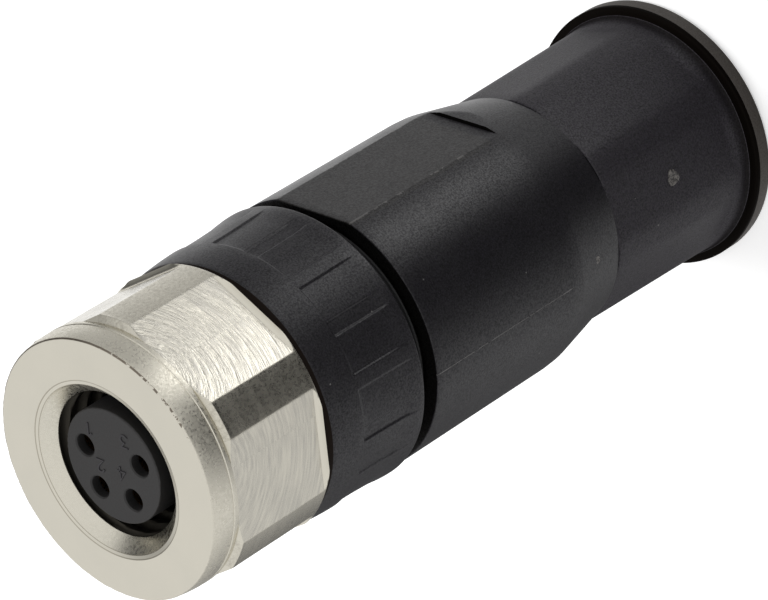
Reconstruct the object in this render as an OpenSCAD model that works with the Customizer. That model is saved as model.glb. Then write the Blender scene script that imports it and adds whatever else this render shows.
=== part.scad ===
// Round M8 cable socket with four contacts, screw terminals and a cable gland.
// The part stands on the flange of its gland nut: the origin is the middle of that
// flange's rear face, and +Z points out of the mating face. +X is the middle of the
// wide space between contacts 1 and 3, and of one wrench flat on the housing.

/* [Gland nut] */
// Radius of the thin flange at the rear end
flange_r = 6.68; // [6.4:0.01:7.2]
// Thickness of that flange
flange_t = 1.10; // [0.8:0.05:2]
// Length of the gripping barrel, from the flange to the housing's cone
barrel_l = 9.55; // [9.2:0.05:12]
// Radius of the barrel at the housing's cone
barrel_front_r = 5.93; // [5.9:0.01:6.1]
// Radius of the barrel where it meets the flange
barrel_back_r = 6.12; // [6.1:0.01:6.3]
// Distance across opposite flats of the barrel, at the housing's cone
barrel_flats_w = 11.40; // [11.2:0.02:11.8]
// Growth of that distance from the cone to the flange
barrel_flats_taper = 0.40; // [0:0.02:0.5]
// Radius of the cable hole
cable_hole_r = 2.75; // [2:0.05:2.9]
// Thickness of the rear wall that the cage bears on
gland_wall = 2.30; // [2:0.05:3]
// Radius of the gland thread
gland_thread_r = 4.70; // [4.6:0.05:4.8]

/* [Housing] */
// Length of the housing between the barrel and its front edge
housing_l = 13.85; // [13.2:0.05:18]
// Radius of the housing
housing_r = 6.64; // [6.5:0.01:7]
// Distance across the two wrench flats
wrench_w = 12.56; // [12.4:0.02:12.8]
// Length of the wrench flats, from the front edge
wrench_l = 9.75; // [8:0.05:10]
// Length of the cone behind the housing
cone_l = 3.75; // [3:0.05:4]
// Radius of the cone's small end
cone_r = 5.87; // [5.7:0.01:5.9]
// Radius that rounds the corner between housing and cone
cone_blend_r = 5; // [1:0.5:6]
// Thickness of the lip between the cable seal and the wiring chamber
lip_t = 1.30; // [1:0.05:2]
// Radius of the hole in that lip
lip_hole_r = 3.10; // [3:0.05:3.4]
// Length of the threaded stub inside the gland nut
stub_l = 6.05; // [5.6:0.05:6.4]
// Radius of the seal's bore in the stub
stub_bore_r = 3.75; // [3.6:0.05:3.8]

/* [Coupling nut] */
// Length of the turned collar at the mating face
collar_l = 1.50; // [1.2:0.05:2.5]
// Radius of that collar
collar_r = 6.34; // [6.2:0.01:6.5]
// Radius of the mating face inside the collar's rounded edge
face_r = 6.17; // [6:0.01:6.2]
// Length of the hexagon
hex_l = 5.55; // [5:0.05:8]
// Distance across the hexagon's flats
hex_w = 12.30; // [12.1:0.02:12.6]
// Radius of the lands between the hexagon's flats
land_r = 6.65; // [6.5:0.01:6.8]
// Radius at the crests of the M8 x 1 thread
nut_thread_r = 3.46; // [3.46:0.01:3.5]
// Radius of the countersink in front of the thread
nut_mouth_r = 4.00; // [3.9:0.01:4.2]
// Length of the threaded hole, from the mating face
nut_thread_l = 4.50; // [4:0.05:4.6]
// Angle of the nut and its grip ring about the axis
nut_turn = -28.5; // [-180:0.5:180]

/* [Grip ring] */
// Length of the grip ring
ring_l = 6.10; // [5.8:0.05:9]
// Largest radius of the ring's crown
ring_r = 6.77; // [6.7:0.01:7]
// Radius of the crown's long curve
ring_crown_r = 66; // [50:1:120]
// Number of raised ribs, and of the grooves half-way between them
ring_ribs = 8; // [6:1:9]
// Angle that one rib takes
rib_deg = 6; // [4:0.5:9]
// Angle that one groove takes
groove_deg = 6.5; // [4:0.5:9]
// Depth of the windows between the ribs
window_depth = 0.12; // [0.05:0.01:0.3]
// Depth of the grooves
groove_depth = 0.22; // [0.1:0.01:0.4]
// Length of the windows
window_l = 3.50; // [2:0.05:4.5]
// Plain band behind the windows
window_back = 0.42; // [0.3:0.02:1]

/* [Carrier] */
// Width of the gap between grip ring and housing
neck_gap = 1.00; // [0.95:0.05:2]
// Radius of the stop collar in that gap
stop_r = 5.85; // [5.5:0.05:6]
// Thickness of the stop collar
stop_t = 0.65; // [0.5:0.05:0.8]
// Radius of the neck that the nut turns on
neck_r = 4.85; // [4.7:0.01:4.85]
// Thickness of the head that the nut pulls on
head_t = 1.30; // [1:0.05:1.6]
// Radius of the bore that holds the insert
carrier_bore_r = 4.00; // [3.8:0.01:4.05]
// Thickness of the front lip
carrier_lip_t = 0.90; // [0.6:0.05:1.1]
// Length of the thread inside the housing
carrier_thread_l = 3.30; // [2.5:0.05:4]
// Radius of that thread
carrier_thread_r = 4.95; // [4.8:0.01:5]

/* [Contacts] */
// Radius of the circle that the contacts lie on
contact_circle_r = 1.70; // [1.65:0.01:1.8]
// Angle between neighbouring contacts
contact_step = 72; // [68:1:72]
// Radius of the insert's tip
tip_r = 2.76; // [2.6:0.01:2.8]
// Depth of the insert's face behind the mating face
tip_recess = 0.45; // [0.2:0.05:1]
// Radius of the holes in the insert's face
face_hole_r = 0.52; // [0.51:0.01:0.53]
// Depth and extra radius of the countersink that leads a pin into each of them
face_hole_sink = 0.06; // [0.02:0.01:0.1]
// Thickness of the insert in front of the contacts
face_wall = 0.50; // [0.3:0.05:0.8]
// Radius of a contact's spring tube
socket_r = 0.78; // [0.7:0.01:0.82]
// Radius of a contact's bore for a 1 mm pin
socket_bore_r = 0.51; // [0.5:0.01:0.52]
// Depth of that bore
socket_bore_l = 5.20; // [4:0.1:7]
// Width of the slit between a contact's two spring arms
slit_w = 0.14; // [0.1:0.02:0.2]
// Length of that slit
slit_l = 3.40; // [2:0.1:4]
// Radius of a contact's wire end
wire_end_r = 0.82; // [0.75:0.01:0.84]
// Radius of the hole for the wire
wire_hole_r = 0.50; // [0.4:0.01:0.52]
// Depth of the hole for the wire
wire_hole_l = 4.60; // [3.5:0.1:5]
// Radius of a contact's collar
contact_collar_r = 0.86; // [0.84:0.01:0.88]
// Thickness of a contact's collar
contact_collar_t = 1.60; // [1:0.1:2]
// Length of the terminal block
block_l = 9.40; // [8.5:0.1:9.8]
// Length of the insert's wide part, in front of the block
insert_l = 6.15; // [5:0.05:6.5]

/* [Terminal screws] */
// Radius of a screw's thread
screw_r = 0.42; // [0.35:0.01:0.44]
// Radius of a screw's head
screw_head_r = 0.62; // [0.55:0.01:0.65]
// Thickness of a screw's head
screw_head_t = 0.50; // [0.3:0.05:0.6]
// Distance of a screw's tip from the contact's axis
screw_tip = 0.35; // [0.2:0.01:0.45]
// Height of the screws above the block's rear face
screw_up = 2.80; // [2.2:0.1:3.4]

/* [Seals and cage] */
// Radius of the face seal's cord
face_seal_cord = 0.30; // [0.26:0.01:0.34]
// Radius of the housing seal's cord
housing_seal_cord = 0.38; // [0.34:0.01:0.4]
// Length of the cable seal
cable_seal_l = 3.25; // [2.5:0.05:3.6]
// Radius of the cable seal's hole
cable_seal_hole_r = 2.60; // [1.75:0.05:2.7]
// Length of the cage's rear ring
cage_ring_l = 2.05; // [1.5:0.05:2.2]
// Radius of the cage's rear ring
cage_ring_r = 4.45; // [4.2:0.05:4.55]
// Radius of the cage's bore
cage_bore_r = 3.00; // [2.95:0.05:3.2]
// Number of fingers on the cage
cage_fingers = 6; // [4:1:8]
// Width of the slots between the fingers
cage_slot = 0.60; // [0.3:0.05:0.9]
// Thickness of the snap ring that holds the coupling nut
snap_t = 0.70; // [0.5:0.05:0.8]
// Radial height of the snap ring
snap_h = 0.70; // [0.5:0.05:0.8]
// Angle of the snap ring's gap
snap_gap_deg = 40; // [20:5:60]

/* [Clearances] */
// Radial clearance between parts that turn or screw on each other
run_gap = 0.05; // [0.03:0.01:0.09]
// Clearance between parts that are pressed or seated together
seat_gap = 0.02; // [0.01:0.01:0.05]

/* [Hidden] */
$fn = 72;
eps = 0.01;
far = 20;

// Heights of the outer pieces, from the rear face up
barrel_top = flange_t + barrel_l;
housing_top = barrel_top + housing_l;
ring_back = housing_top + neck_gap;
ring_front = ring_back + ring_l;
hex_back = ring_front + run_gap;
hex_front = hex_back + hex_l;
face_z = hex_front + collar_l;

// Heights inside the coupling nut
thread_end = face_z - nut_thread_l;
head_front = thread_end - 2 * run_gap;
head_back = head_front - head_t;
snap_back = head_back - run_gap - snap_t;
sleeve_r = neck_r + run_gap + 0.62;
nut_bore_r = neck_r + 1.5 * run_gap;
snap_inner_r = neck_r - 0.25;
snap_outer_r = snap_inner_r + snap_h;

// Keys that stop the grip ring turning on the nut's sleeve
key_count = 6;
key_w = 1.2;
key_h = 0.3;
key_l = ring_l - 1.4;

// Heights inside the carrier and the insert
stop_back = housing_top + 0.15;
stop_front = stop_back + stop_t;
carrier_back = housing_top - carrier_thread_l;
lip_back = head_front - carrier_lip_t;
insert_front = lip_back - seat_gap;
insert_back = insert_front - insert_l;
block_back = insert_back - block_l;
body_r = carrier_bore_r - seat_gap;
tip_z = face_z - tip_recess;

// Heights of a contact, and the angle of each one: 1, 2, 3 and 4
contact_front = tip_z - face_wall - seat_gap;
contact_back = block_back + 0.6;
contact_angles = [contact_step, 2 * contact_step, -contact_step, -2 * contact_step];
collar_bottom = insert_back - contact_collar_t / 2;
screw_z = block_back + screw_up;
screw_head_rho = contact_circle_r + wire_end_r + 0.48;

// Seats of the two O-rings
face_seal_mid_r = tip_r + seat_gap + face_seal_cord + 0.01;
housing_seal_mid_r = carrier_thread_r + 0.09 + housing_seal_cord;
housing_seal_z = stop_back - seat_gap - housing_seal_cord;
seal_seat_z = housing_seal_z - housing_seal_cord - seat_gap;
seal_seat_r = housing_seal_mid_r + housing_seal_cord + seat_gap;

// Heights inside the housing and the gland
chamber_r = carrier_thread_r + run_gap;
chamber_back = barrel_top + 0.25 + lip_t;
stub_front = chamber_back - lip_t;
stub_back = barrel_top - stub_l;
stub_r = gland_thread_r - run_gap;
cage_back = gland_wall + run_gap;
cage_ring_top = cage_back + cage_ring_l;
seal_top = stub_front - seat_gap;
seal_back = seal_top - cable_seal_l;
seal_dish = 1.0;
finger_r = stub_bore_r - 1.6 * run_gap;
finger_tip_r = cage_bore_r + 0.25;
finger_shoulder = seal_back - 0.2;
finger_tip_z = finger_shoulder + 0.8;

// A ring with a square section
module ring(outer, inner, low, high) {
    translate([0, 0, low])
        difference() {
            cylinder(r = outer, h = high - low);
            translate([0, 0, -eps]) cylinder(r = inner, h = high - low + 2 * eps);
        }
}

// A round hole along Z
module hole(r, low, high) {
    translate([0, 0, low]) cylinder(r = r, h = high - low);
}

// A countersink that opens upward, from radius r at height low to radius mouth at high
module sink(r, mouth, low, high) {
    translate([0, 0, low]) cylinder(r1 = r, r2 = mouth, h = high - low);
}

// Cuts a 45 degree edge of size c off a round part's upper rim
module bevel_top(r, c, z) {
    translate([0, 0, z - c])
        difference() {
            cylinder(r = r + c, h = 2 * c);
            translate([0, 0, -eps]) cylinder(r1 = r + eps, r2 = r - c, h = c + eps);
        }
}

// Cuts a 45 degree edge of size c off a round part's lower rim
module bevel_bottom(r, c, z) {
    translate([0, 0, z]) mirror([0, 0, 1]) bevel_top(r, c, 0);
}

// Rounds a round part's rim: the waste between the corner and a quarter circle
module round_rim(r, fillet, z, up = 1) {
    rotate_extrude()
        difference() {
            translate([r - fillet, up > 0 ? z - fillet : z - eps])
                square([fillet + eps, fillet + eps]);
            translate([r - fillet, z - up * fillet]) circle(r = fillet);
        }
}

// Copies its children to the place of each contact
module at_contact(n) {
    rotate([0, 0, contact_angles[n - 1]]) translate([contact_circle_r, 0, 0]) children();
}

// An O-ring: a round cord of radius cord bent to the radius mid
module o_ring(mid, cord, z) {
    translate([0, 0, z]) rotate_extrude() translate([mid, 0]) circle(r = cord, $fn = 36);
}

// Brass nut: turned collar, milled hexagon, M8 thread, and a sleeve for the grip ring
module coupling_nut() {
    color([0.80, 0.78, 0.71])
    rotate([0, 0, nut_turn])
    difference() {
        union() {
            difference() {
                hole(collar_r, hex_front - eps, face_z);
                bevel_top(collar_r, collar_r - face_r, face_z);
            }
            intersection() {
                hole(land_r, hex_back, hex_front);
                hexagon(hex_w, hex_back, hex_front);
                difference() {
                    hole(land_r, hex_back, hex_front);
                    bevel_top(land_r, 0.1, hex_front);
                    bevel_bottom(land_r, 0.12, hex_back);
                }
            }
            hole(sleeve_r, ring_back + 0.1, hex_back + eps);
            for (k = [0 : key_count - 1])
                rotate([0, 0, k * 360 / key_count])
                    translate([sleeve_r - 0.5, -key_w / 2, hex_back - key_l])
                        cube([0.5 + key_h, key_w, key_l + eps]);
        }
        hole(nut_thread_r, thread_end - eps, face_z + eps);
        sink(nut_thread_r, nut_mouth_r, face_z - (nut_mouth_r - nut_thread_r), face_z + eps / 10);
        hole(nut_bore_r, ring_back, thread_end);
        hole(snap_outer_r + run_gap, snap_back - run_gap, snap_back + snap_t + run_gap);
    }
}

// A hexagonal prism of the width w across its flats, with a flat towards +X
module hexagon(w, low, high) {
    rotate([0, 0, 30]) translate([0, 0, low])
        cylinder(r = w / 2 / cos(30), h = high - low, $fn = 6);
}

// Outline of the grip ring's crown, sunk by depth, as a half section
module crown_section(depth) {
    intersection() {
        translate([0, ring_back]) square([ring_r + 1, ring_l]);
        translate([ring_r - ring_crown_r, ring_back - 1.3])
            circle(r = ring_crown_r - depth, $fn = 1440);
    }
}

// Waste that one window or groove takes out of the crown, from angle a over width w
module crown_cut(a, w, depth) {
    rotate([0, 0, a])
        rotate_extrude(angle = w)
            difference() {
                translate([ring_r - 1, ring_back + window_back]) square([2, window_l]);
                crown_section(depth);
            }
}

// Black grip ring: a crowned ring with raised ribs, windows and grooves
module grip_ring() {
    pitch = 360 / ring_ribs;
    color([0.17, 0.17, 0.18])
    rotate([0, 0, nut_turn])
    difference() {
        rotate_extrude() crown_section(0);
        hole(sleeve_r + seat_gap, ring_back - eps, ring_front + eps);
        for (k = [0 : key_count - 1])
            rotate([0, 0, k * 360 / key_count])
                translate([0, -key_w / 2 - seat_gap, hex_back - key_l - seat_gap])
                    cube([sleeve_r + key_h + seat_gap, key_w + 2 * seat_gap, key_l + 1]);
        for (k = [0 : ring_ribs - 1]) {
            crown_cut(k * pitch + rib_deg / 2, pitch - rib_deg, window_depth);
            crown_cut((k + 0.5) * pitch - groove_deg / 2, groove_deg, groove_depth);
        }
    }
}

// Open steel snap ring in the nut's groove, behind the carrier's head
module retaining_ring() {
    color([0.62, 0.62, 0.64])
    rotate([0, 0, nut_turn])
    difference() {
        ring(snap_outer_r, snap_inner_r, snap_back, snap_back + snap_t);
        rotate([0, 0, 180 - snap_gap_deg / 2])
            rotate_extrude(angle = snap_gap_deg)
                translate([snap_inner_r - 0.3, snap_back - 0.1])
                    square([snap_h + 0.6, snap_t + 0.2]);
    }
}

// Rubber ring that the mating connector presses on, at the bottom of the thread
module face_seal() {
    color([0.12, 0.12, 0.12])
    o_ring(face_seal_mid_r, face_seal_cord, head_front + face_seal_cord + seat_gap);
}

// Dark moulded insert: the tip with four holes, and the wide part inside the carrier
module contact_insert() {
    color([0.27, 0.26, 0.27])
    difference() {
        union() {
            difference() {
                hole(tip_r, insert_front - eps, tip_z);
                round_rim(tip_r, 0.06, tip_z);
            }
            hole(body_r, insert_back, insert_front);
        }
        for (n = [1 : 4])
            at_contact(n) {
                hole(face_hole_r, tip_z - face_wall - eps, tip_z + eps);
                sink(face_hole_r, face_hole_r + face_hole_sink, tip_z - face_hole_sink,
                    tip_z + eps / 10);
                hole(socket_r + seat_gap, insert_back - eps, tip_z - face_wall);
                hole(contact_collar_r + 2 * seat_gap, insert_back - eps,
                    collar_bottom + contact_collar_t + seat_gap);
            }
    }
}

// Black block behind the insert, with the wire ends and the holes for their screws
module terminal_block() {
    color([0.20, 0.20, 0.21])
    difference() {
        hole(body_r, block_back, insert_back);
        for (n = [1 : 4]) {
            at_contact(n) {
                hole(wire_end_r + seat_gap, block_back - eps, insert_back + eps);
                hole(contact_collar_r + 2 * seat_gap, collar_bottom - seat_gap,
                    insert_back + eps);
            }
            at_screw(n) {
                cylinder(r = screw_r + 2 * run_gap, h = far);
                translate([0, 0, screw_head_rho - run_gap])
                    cylinder(r = screw_head_r + 1.6 * run_gap, h = far);
            }
        }
    }
}

// Turns +Z of its children to the way that one terminal screw points
module at_screw(n) {
    rotate([0, 0, contact_angles[n - 1]])
        translate([0, 0, screw_z]) rotate([0, 90, 0]) children();
}

// Gold-plated contact: slit spring tube in front, collar, and drilled wire end
module socket_contact(n) {
    color([0.83, 0.68, 0.33])
    difference() {
        at_contact(n)
            difference() {
                union() {
                    hole(socket_r, insert_back, contact_front);
                    hole(wire_end_r, contact_back, insert_back + eps);
                    hole(contact_collar_r, collar_bottom, collar_bottom + contact_collar_t);
                }
                hole(socket_bore_r, contact_front - socket_bore_l, contact_front + eps);
                hole(wire_hole_r, contact_back - eps, contact_back + wire_hole_l);
                translate([-1, -slit_w / 2, contact_front - slit_l])
                    cube([2, slit_w, slit_l + eps]);
            }
        at_screw(n)
            translate([0, 0, contact_circle_r]) cylinder(r = screw_r + run_gap, h = far);
    }
}

// Slotted screw that clamps a wire in its contact
module terminal_screw(n) {
    color([0.70, 0.70, 0.72])
    at_screw(n)
        difference() {
            union() {
                translate([0, 0, contact_circle_r + screw_tip])
                    cylinder(r = screw_r, h = screw_head_rho - contact_circle_r - screw_tip + eps);
                translate([0, 0, screw_head_rho]) cylinder(r = screw_head_r, h = screw_head_t);
            }
            translate([-1, -0.08, screw_head_rho + screw_head_t - 0.22]) cube([2, 0.16, 1]);
        }
}

// Black sleeve that holds the insert, carries the nut and screws into the housing
module carrier_sleeve() {
    color([0.14, 0.14, 0.15])
    difference() {
        union() {
            hole(neck_r, head_back, head_front);
            hole(snap_inner_r - 2 * run_gap, snap_back - 0.6, head_back + eps);
            hole(neck_r, stop_front - eps, snap_back - 0.6 + eps);
            hole(stop_r, stop_back, stop_front);
            hole(carrier_thread_r, carrier_back, stop_back + eps);
        }
        hole(carrier_bore_r, carrier_back - eps, lip_back);
        hole(tip_r + 2 * seat_gap, lip_back - eps, head_front + eps);
        bevel_bottom(carrier_thread_r, 0.3, carrier_back);
    }
}

// Half section of the housing's outside: cylinder, rounded corner and cone
module housing_section() {
    slope = atan((housing_r - cone_r) / cone_l);
    tangent = cone_blend_r * tan(slope / 2);
    corner_z = barrel_top + cone_l;
    polygon([[0, barrel_top], [cone_r, barrel_top],
        [housing_r - tangent * sin(slope), corner_z - tangent * cos(slope)],
        [housing_r, corner_z + tangent], [housing_r, housing_top], [0, housing_top]]);
    intersection() {
        translate([housing_r - cone_blend_r, corner_z + tangent])
            circle(r = cone_blend_r, $fn = 360);
        translate([cone_r - 1, corner_z - tangent])
            square([housing_r - cone_r + 1, 2 * tangent]);
    }
}

// Black housing: wrench flats, cone, wiring chamber and threaded stub for the gland nut
module housing() {
    color([0.18, 0.17, 0.19])
    difference() {
        union() {
            rotate_extrude() housing_section();
            hole(stub_r, stub_back, barrel_top + eps);
        }
        for (side = [0, 180])
            rotate([0, 0, side])
                translate([wrench_w / 2, -far / 2, housing_top - wrench_l])
                    cube([far, far, wrench_l + 1]);
        bevel_top(housing_r, 0.12, housing_top);
        hole(seal_seat_r, seal_seat_z, housing_top + eps);
        hole(chamber_r, chamber_back, housing_top + eps);
        hole(lip_hole_r, stub_front - eps, chamber_back + eps);
        hole(stub_bore_r, stub_back - eps, stub_front);
        bevel_bottom(stub_r, 0.3, stub_back);
    }
}

// Rubber ring between the housing and the carrier's stop collar
module housing_seal() {
    color([0.10, 0.10, 0.10])
    o_ring(housing_seal_mid_r, housing_seal_cord, housing_seal_z);
}

// Rubber sleeve round the cable, with a dished rear end for the cage's fingers
module cable_seal() {
    color([0.12, 0.12, 0.12])
    difference() {
        hole(stub_bore_r - seat_gap, seal_back, seal_top);
        hole(cable_seal_hole_r, seal_back - eps, seal_top + eps);
        translate([0, 0, seal_back - eps])
            cylinder(r1 = finger_tip_r + 0.5, r2 = finger_tip_r, h = seal_dish);
    }
}

// Plastic cage: a rear ring and springy fingers that grip the cable
module clamping_cage() {
    color([0.83, 0.82, 0.78])
    difference() {
        union() {
            hole(cage_ring_r, cage_back, cage_ring_top);
            hole(finger_r, cage_back, finger_shoulder);
            translate([0, 0, finger_shoulder - eps])
                cylinder(r1 = finger_r, r2 = finger_tip_r,
                    h = finger_tip_z - finger_shoulder + eps);
        }
        hole(cage_bore_r, cage_back - eps, finger_tip_z + eps);
        for (k = [0 : cage_fingers - 1])
            rotate([0, 0, k * 360 / cage_fingers])
                translate([0, -cage_slot / 2, cage_ring_top + 0.5])
                    cube([finger_r + 1, cage_slot, far]);
    }
}

// Black gland nut: thin flange, eight-sided tapered barrel and inner thread
module gland_nut() {
    fillet = 0.3;
    flats_back = (barrel_flats_w + barrel_flats_taper) / 2;
    foot_r = flats_back - 2 * eps;
    color([0.17, 0.16, 0.18])
    difference() {
        union() {
            difference() {
                hole(flange_r, 0, flange_t);
                round_rim(flange_r, 0.25, flange_t);
                round_rim(flange_r, 0.2, 0, -1);
            }
            rotate([0, 0, nut_turn])
                intersection() {
                    sink(barrel_back_r, barrel_front_r, flange_t - eps, barrel_top - run_gap);
                    rotate([0, 0, 22.5]) translate([0, 0, flange_t - eps])
                        cylinder(r1 = flats_back / cos(22.5), r2 = barrel_flats_w / 2 / cos(22.5),
                            h = barrel_l, $fn = 8);
                }
            rotate_extrude()
                difference() {
                    translate([foot_r - 1, flange_t - eps]) square([1 + fillet, fillet + eps]);
                    translate([foot_r + fillet, flange_t + fillet]) circle(r = fillet);
                }
        }
        bevel_top(barrel_front_r, 0.1, barrel_top - run_gap);
        hole(cable_hole_r, -eps, gland_wall + eps);
        translate([0, 0, -eps]) cylinder(r1 = cable_hole_r + 0.3, r2 = cable_hole_r, h = 0.3);
        hole(gland_thread_r, gland_wall, barrel_top);
    }
}

coupling_nut();
grip_ring();
retaining_ring();
face_seal();
contact_insert();
terminal_block();
socket_contact(1);  // socket_contact_1
socket_contact(2);  // socket_contact_2
socket_contact(3);  // socket_contact_3
socket_contact(4);  // socket_contact_4
terminal_screw(1);  // terminal_screw_1
terminal_screw(2);  // terminal_screw_2
terminal_screw(3);  // terminal_screw_3
terminal_screw(4);  // terminal_screw_4
carrier_sleeve();
housing();
housing_seal();
cable_seal();
clamping_cage();
gland_nut();
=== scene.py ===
"""Looks of the round M8 cable socket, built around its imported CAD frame."""
import math

import bmesh
import bpy
from mathutils import Matrix, Quaternion, Vector


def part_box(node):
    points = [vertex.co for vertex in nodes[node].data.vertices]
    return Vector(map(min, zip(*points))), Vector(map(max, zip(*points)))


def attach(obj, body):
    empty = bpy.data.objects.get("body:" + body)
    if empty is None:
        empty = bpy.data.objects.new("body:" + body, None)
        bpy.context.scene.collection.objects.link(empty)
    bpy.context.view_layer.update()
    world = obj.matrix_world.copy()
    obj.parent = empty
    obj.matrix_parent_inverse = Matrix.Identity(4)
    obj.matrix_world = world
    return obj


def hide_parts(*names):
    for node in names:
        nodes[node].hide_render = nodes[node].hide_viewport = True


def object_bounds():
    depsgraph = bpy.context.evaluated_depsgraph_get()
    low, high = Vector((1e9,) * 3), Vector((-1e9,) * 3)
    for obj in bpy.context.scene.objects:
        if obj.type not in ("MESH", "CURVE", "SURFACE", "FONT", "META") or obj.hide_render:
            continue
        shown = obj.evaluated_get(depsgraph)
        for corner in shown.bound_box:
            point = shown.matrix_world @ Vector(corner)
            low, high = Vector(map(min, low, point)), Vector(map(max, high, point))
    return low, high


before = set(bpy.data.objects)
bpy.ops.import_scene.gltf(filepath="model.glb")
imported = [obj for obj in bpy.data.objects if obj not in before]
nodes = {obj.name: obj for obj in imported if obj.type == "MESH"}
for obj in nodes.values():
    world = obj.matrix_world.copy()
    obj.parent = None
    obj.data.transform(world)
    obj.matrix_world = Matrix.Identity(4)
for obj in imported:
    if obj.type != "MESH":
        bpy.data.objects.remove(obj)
cad_lo, cad_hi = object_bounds()

# ---------------------------------------------------------------- sizes
# In millimetres and degrees, as in part.scad. A height that a node's box gives is read from the frame.
MM = 0.001
FACE_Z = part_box("coupling_nut")[1].z / MM
INSERT_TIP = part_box("contact_insert")[1].z / MM
RING_BACK, RING_FRONT = (corner.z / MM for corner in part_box("grip_ring"))
HOUSING_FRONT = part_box("housing")[1].z / MM

# coupling nut
NUT_TURN = -28.5          # from +X to the middle of a flat
HEX_BACK = RING_FRONT + 0.05
HEX_FRONT = FACE_Z - 1.5
FLAT_R = 6.15             # half the width across flats
LAND_R = 6.65             # the rounded corners between the flats
RUN_OUT = 0.24            # length over which a flat rises to the grip ring
COLLAR_R = 6.34
MOUTH_R = 4.0             # the countersink, close to the face
CREST_R = 3.46
ROOT_R = 4.0
PITCH = 1.0
THROAT_Z = FACE_Z - 0.15 - (MOUTH_R - 0.03 - CREST_R)
THREAD_END = FACE_Z - 4.5
THREAD_ROWS = 76
BORE_R = 4.925            # behind the thread
SNAP_GROOVE_R = 5.35
SNAP_GROOVE = (THREAD_END - 1.35, THREAD_END - 2.15)
SKIRT_R = 5.52            # the part of the nut inside the grip ring
SKIRT_BACK = RING_BACK + 0.1

# grip ring
RING_BORE_R = 5.6
CROWN_ARC = 66            # radius of the arc that crowns the outside
CROWN_R = 6.764           # at the top of this arc, which lies just behind the ring
CROWN_Z = RING_BACK - 1.3
WINDOW = (RING_BACK + 0.42, RING_BACK + 3.92)
RIB_HALF = 3              # degrees either side of a rib's middle
GROOVE_HALF = 3.25

# housing
BARREL_TOP = 10.65
CONE_TOP = 14.4
CONE_R = 5.87             # the cone, where it meets the barrel
HOUSING_R = 6.64
WRENCH_HALF = 6.28        # half the width across the wrench flats
WRENCH_BACK = HOUSING_FRONT - 9.75
FLAT_END = WRENCH_BACK - 0.55

# gland nut
FLANGE_T = 1.1
FLANGE_R = 6.68
BARREL_R = (6.12, 5.93)   # round corners of the barrel, at the flange and at the housing
FACET_R = (5.9, 5.7)      # its eight flats, at the same places
FOOT_TOP = 1.18           # end of the rounded foot between flange and barrel
FOOT_BLEND = 0.9          # length over which the foot turns into the flats


# ---------------------------------------------------------------- node helpers
class Nodes:
    """A node tree under construction, with short calls for its nodes."""

    def __init__(self, tree):
        self.tree = tree

    def node(self, kind, **values):
        made = self.tree.nodes.new(kind)
        for name, value in values.items():
            setattr(made, name, value)
        return made

    def feed(self, socket, value):
        """Gives a socket a number or a colour, or links another node's output to it."""
        if isinstance(value, (int, float)):
            socket.default_value = value
        elif isinstance(value, tuple):
            socket.default_value = (*value, 1)
        else:
            self.tree.links.new(value, socket)

    def math(self, operation, *values):
        made = self.node("ShaderNodeMath", operation=operation)
        for socket, value in zip(made.inputs, values):
            self.feed(socket, value)
        return made.outputs[0]

    def times(self, product, *factors):
        """The product of masks, lengths and numbers."""
        for factor in factors:
            product = self.math("MULTIPLY", product, factor)
        return product

    def plus(self, a, b):
        return self.math("ADD", a, b)

    def minus(self, a, b):
        return self.math("SUBTRACT", a, b)

    def either(self, a, b):
        """The larger of two masks."""
        return self.math("MAXIMUM", a, b)

    def over(self, value, limit):
        """1 where a value is over a limit, otherwise 0."""
        return self.math("GREATER_THAN", value, limit)

    def under(self, value, limit):
        """1 where a value is under a limit, otherwise 0."""
        return self.math("LESS_THAN", value, limit)

    def above(self, length, limit):
        """1 where a length is over a limit in millimetres, otherwise 0."""
        return self.over(length, limit * MM)

    def below(self, length, limit):
        """1 where a length is under a limit in millimetres, otherwise 0."""
        return self.under(length, limit * MM)

    def near(self, length, middle, reach):
        """1 where a length is within reach of middle, both in millimetres, otherwise 0."""
        return self.math("COMPARE", length, middle * MM, reach * MM)

    def radius(self, x, y):
        return self.math("SQRT", self.plus(self.times(x, x), self.times(y, y)))

    def ramp(self, factor, stops):
        """Maps a factor through stops of (position, value or colour)."""
        made = self.node("ShaderNodeValToRGB")
        elements = made.color_ramp.elements
        while len(elements) < len(stops):
            elements.new(0.5)
        for element, (position, value) in zip(elements, stops):
            element.position = position
            element.color = (value, value, value, 1) if isinstance(value, (int, float)) else (*value, 1)
        self.feed(made.inputs["Fac"], factor)
        return made.outputs["Color"]

    def mix(self, factor, a, b):
        """From a to b, each a colour or a level, as the factor goes from 0 to 1."""
        made = self.node("ShaderNodeMix", data_type="RGBA")
        a, b = ((value, value, value) if isinstance(value, (int, float)) else value for value in (a, b))
        for index, value in ((0, factor), (6, a), (7, b)):
            self.feed(made.inputs[index], value)
        return made.outputs[2]

    def xyz(self, vector):
        made = self.node("ShaderNodeSeparateXYZ")
        self.feed(made.inputs[0], vector)
        return made.outputs


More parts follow.
